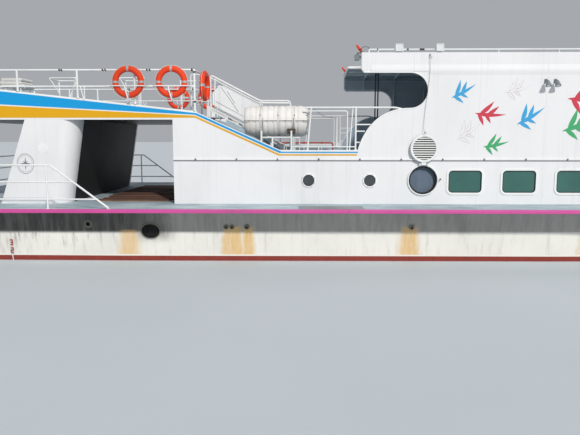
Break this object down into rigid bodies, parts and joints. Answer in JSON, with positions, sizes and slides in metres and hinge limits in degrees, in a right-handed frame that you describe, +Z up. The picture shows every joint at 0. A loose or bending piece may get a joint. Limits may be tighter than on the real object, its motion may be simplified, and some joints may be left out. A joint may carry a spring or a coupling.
{
  "type": "passenger ferry",
  "caption": "Steel passenger ferry with an open cross passage aft, tapered sun deck, sunk lower saloon, upper cabin with verandah, twin propellers and rudders.",
  "frame": {"origin": "on the centreline at the waterline, amidships", "axes": "+X forward to the bow, +Y to port, +Z up"},
  "size_m": [38, 7.8, 9.2028],
  "materials": {
    "white_paint": "gloss marine paint, lightly weathered",
    "hull_paint": "satin white with rust runs, red below the boot-top",
    "deck_paint": "matt pale blue-grey, worn",
    "dark_panel": "dark grey lining panels",
    "ring_orange": "orange with pale bands",
    "raft_shell": "weathered white glass-fibre",
    "bronze": "dull bronze",
    "steel": "galvanised",
    "engine_paint": "engine green",
    "seat_cover": "blue vinyl cloth",
    "antifoul": "matt red"
  },
  "bodies": {
    "boat": {"hull": "hull_paint", "main_deck": "deck_paint", "gangway_plate_starboard": "deck_paint", "gangway_plate_port": "deck_paint", "windlass": "steel", "wall_starboard": "white_paint", "wall_port": "white_paint", "mid_deck": "deck_paint", "front_screen": "white_paint", "saloon_bulkhead": "dark_panel", "verandah_bulkhead": "dark_panel", "wheelhouse_bulkhead": "dark_panel", "casing_starboard": "white_paint", "casing_port": "white_paint", "passage_bulkhead": "dark_panel", "sun_deck": "white_paint", "roof": "white_paint", "stair": "white_paint", "sun_rails": "white_paint", "aft_rail": "white_paint", "bow_rail": "white_paint", "roof_rail": "white_paint", "mid_rail_starboard": "white_paint", "mid_rail_port": "white_paint", "life_raft_starboard": "raft_shell", "life_raft_port": "raft_shell", "raft_cradle_starboard": "white_paint", "raft_cradle_port": "white_paint", "life_ring_starboard_aft": "ring_orange", "life_ring_starboard_fore": "ring_orange", "life_ring_port_aft": "ring_orange", "life_ring_port_fore": "ring_orange", "life_ring_stairhead": "ring_orange", "seats_lower": "seat_cover", "seats_upper": "seat_cover", "saloon_steps": "deck_paint", "helm_console": "dark_panel", "engine_starboard": "engine_paint", "engine_port": "engine_paint", "strut_starboard": "bronze", "strut_port": "bronze", "mast": "white_paint"},
    "engine_hatch": {"engine_hatch_lid": "deck_paint"},
    "bow_hatch": {"bow_hatch_lid": "deck_paint"},
    "vent_starboard": {"vent_cover_starboard": "white_paint"},
    "vent_port": {"vent_cover_port": "white_paint"},
    "door_saloon": {"saloon_door": "white_paint"},
    "door_verandah": {"verandah_door": "white_paint"},
    "screw_starboard": {"propeller_starboard": "bronze"},
    "screw_port": {"propeller_port": "bronze"},
    "steering_starboard": {"rudder_starboard": "antifoul"},
    "steering_port": {"rudder_port": "antifoul"},
    "radar": {"radar_scanner": "white_paint"}
  },
  "joints": [
    {"name": "propeller_starboard_spin", "type": "hinge", "parent": "boat", "child": "screw_starboard", "pos_m": [-16.75, -1.5, -1.15], "axis": [0.9925, 0, 0.1219], "continuous": true},
    {"name": "propeller_port_spin", "type": "hinge", "parent": "boat", "child": "screw_port", "pos_m": [-16.75, 1.5, -1.15], "axis": [0.9925, 0, 0.1219], "continuous": true},
    {"name": "rudder_starboard_turn", "type": "hinge", "parent": "boat", "child": "steering_starboard", "pos_m": [-17.75, -1.5, -0.53], "axis": [0, 0, 1], "range_deg": [-35, 35]},
    {"name": "rudder_port_turn", "type": "hinge", "parent": "boat", "child": "steering_port", "pos_m": [-17.75, 1.5, -0.53], "axis": [0, 0, 1], "range_deg": [-35, 35]},
    {"name": "radar_spin", "type": "hinge", "parent": "boat", "child": "radar", "pos_m": [4.04, 0, 6.28], "axis": [0, 0, 1], "continuous": true},
    {"name": "vent_starboard_close", "type": "hinge", "parent": "boat", "child": "vent_starboard", "pos_m": [-6.78, -2.82, 2.157], "axis": [1, 0, 0], "range_deg": [0, 180]},
    {"name": "vent_port_close", "type": "hinge", "parent": "boat", "child": "vent_port", "pos_m": [-6.78, 2.82, 2.157], "axis": [-1, 0, 0], "range_deg": [0, 180]},
    {"name": "saloon_door_swing", "type": "hinge", "parent": "boat", "child": "door_saloon", "pos_m": [-12.4777, 0.4, 1.318], "axis": [0, 0, -1], "range_deg": [0, 100]},
    {"name": "verandah_door_swing", "type": "hinge", "parent": "boat", "child": "door_verandah", "pos_m": [-5.468, 0.4, 2.368], "axis": [0, 0, -1], "range_deg": [0, 100]},
    {"name": "engine_hatch_lift", "type": "hinge", "parent": "boat", "child": "engine_hatch", "pos_m": [-16.475, 0, 1.45], "axis": [0, 1, 0], "range_deg": [0, 95]},
    {"name": "bow_hatch_lift", "type": "hinge", "parent": "boat", "child": "bow_hatch", "pos_m": [14.025, 0, 1.78], "axis": [0, 1, 0], "range_deg": [0, 95]}
  ],
  "couplings": [
    {"joint": "rudder_port_turn", "follows": "rudder_starboard_turn", "ratio": 1}
  ]
}
